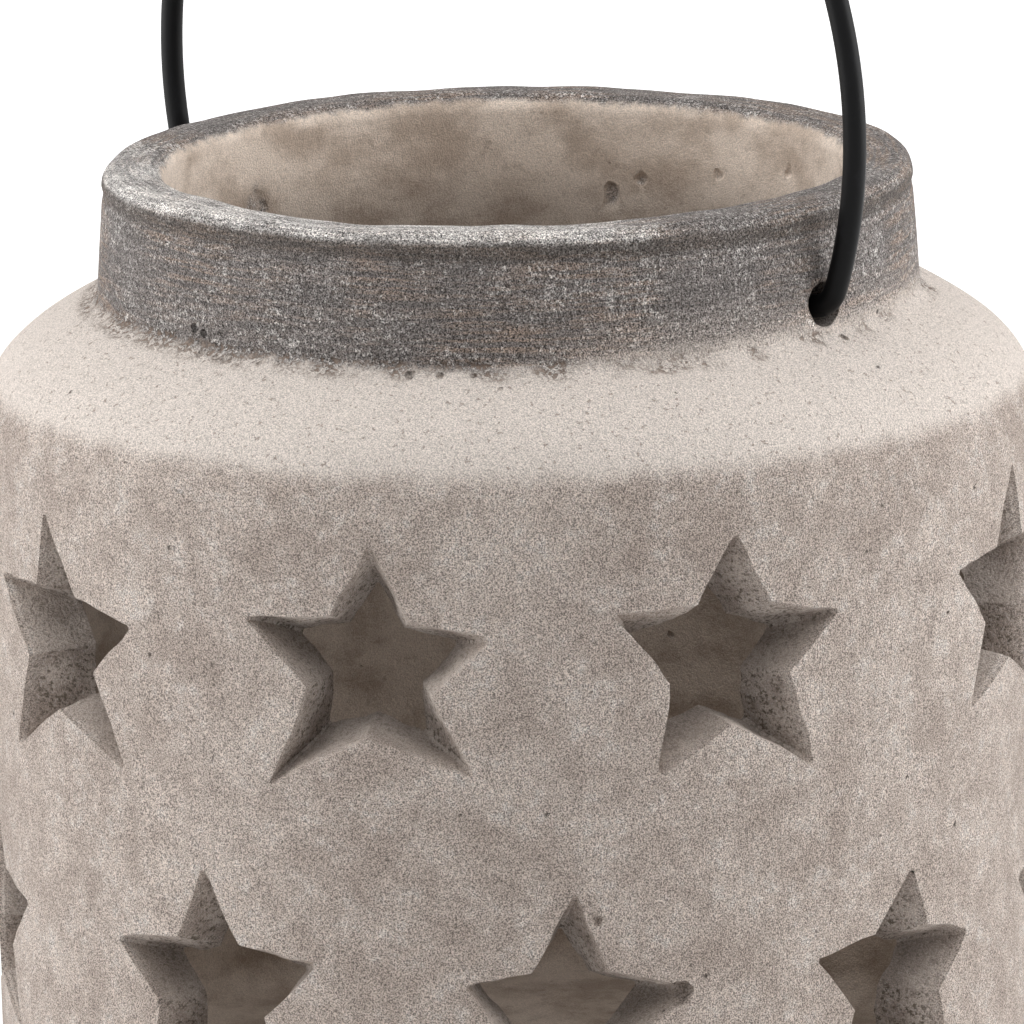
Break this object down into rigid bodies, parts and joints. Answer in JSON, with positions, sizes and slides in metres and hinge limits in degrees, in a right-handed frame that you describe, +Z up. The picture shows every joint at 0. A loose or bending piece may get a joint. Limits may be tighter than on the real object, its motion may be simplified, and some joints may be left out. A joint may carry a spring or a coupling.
{
  "type": "candle lantern",
  "caption": "Round cast cement candle pot with rows of star cut-outs in its wall, a narrower open neck and a black wire bail that swings in holes in the neck.",
  "frame": {"origin": "middle of the pot's underside", "axes": "+Z up along the pot's axis; the bail's hinge line runs along X, through the middle of the neck's holes"},
  "size_m": [0.187, 0.187, 0.2747],
  "materials": {
    "cement": "matte",
    "black_wire": "satin"
  },
  "bodies": {
    "pot": {"cement_pot": "cement"},
    "bail": {"wire_bail": "black_wire"}
  },
  "joints": [
    {"name": "bail_swing", "type": "hinge", "parent": "pot", "child": "bail", "pos_m": [0, 0, 0.1638], "axis": [1, 0, 0], "range_deg": [-104, 104]}
  ]
}
